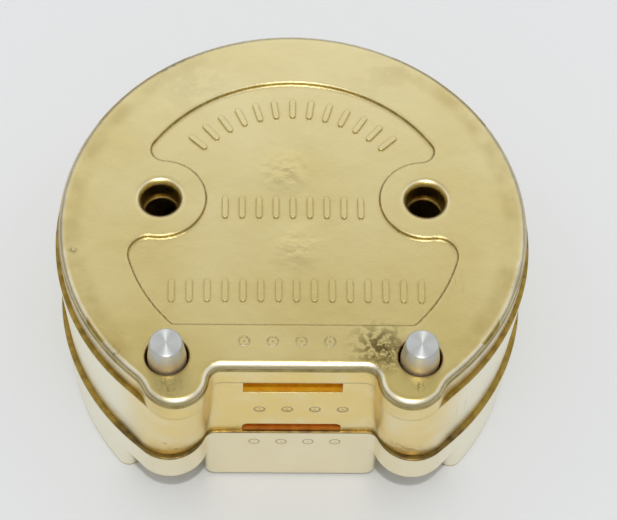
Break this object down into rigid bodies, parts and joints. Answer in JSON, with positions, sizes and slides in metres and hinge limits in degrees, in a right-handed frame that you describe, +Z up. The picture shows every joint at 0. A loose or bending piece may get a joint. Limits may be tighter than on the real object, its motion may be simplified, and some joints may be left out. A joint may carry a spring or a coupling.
{
  "type": "dental flask",
  "caption": "Round metal mould with a lid, a middle ring and a base stacked on two guide pins, for pressing denture plaster, with pry slots at the front and a loose knock-out plate.",
  "frame": {"origin": "on the floor, at the centre of the big circle that the outlines of base, ring and lid are drawn around", "axes": "+Z up along the guide pins and the press stroke, -Y towards the front recess with the pry slots, +X to the right seen from the front"},
  "size_m": [0.1092, 0.1021, 0.0586],
  "materials": {
    "brass_casting": "satin",
    "brass_plate": "satin",
    "pin_steel": "turned"
  },
  "bodies": {
    "base": {"base": "brass_casting", "guide_pin_left": "pin_steel", "guide_pin_right": "pin_steel"},
    "ring": {"ring": "brass_casting"},
    "lid": {"lid": "brass_casting"},
    "knock_out_plate": {"knock_out_plate": "brass_plate"}
  },
  "joints": [
    {"name": "ring_lift", "type": "slide", "parent": "base", "child": "ring", "axis": [0, 0, 1], "range_m": [0, 0.045]},
    {"name": "lid_lift", "type": "slide", "parent": "ring", "child": "lid", "axis": [0, 0, 1], "range_m": [0, 0.025]},
    {"name": "knock_out", "type": "slide", "parent": "base", "child": "knock_out_plate", "axis": [0, 0, 1], "range_m": [0, 0.03]}
  ]
}
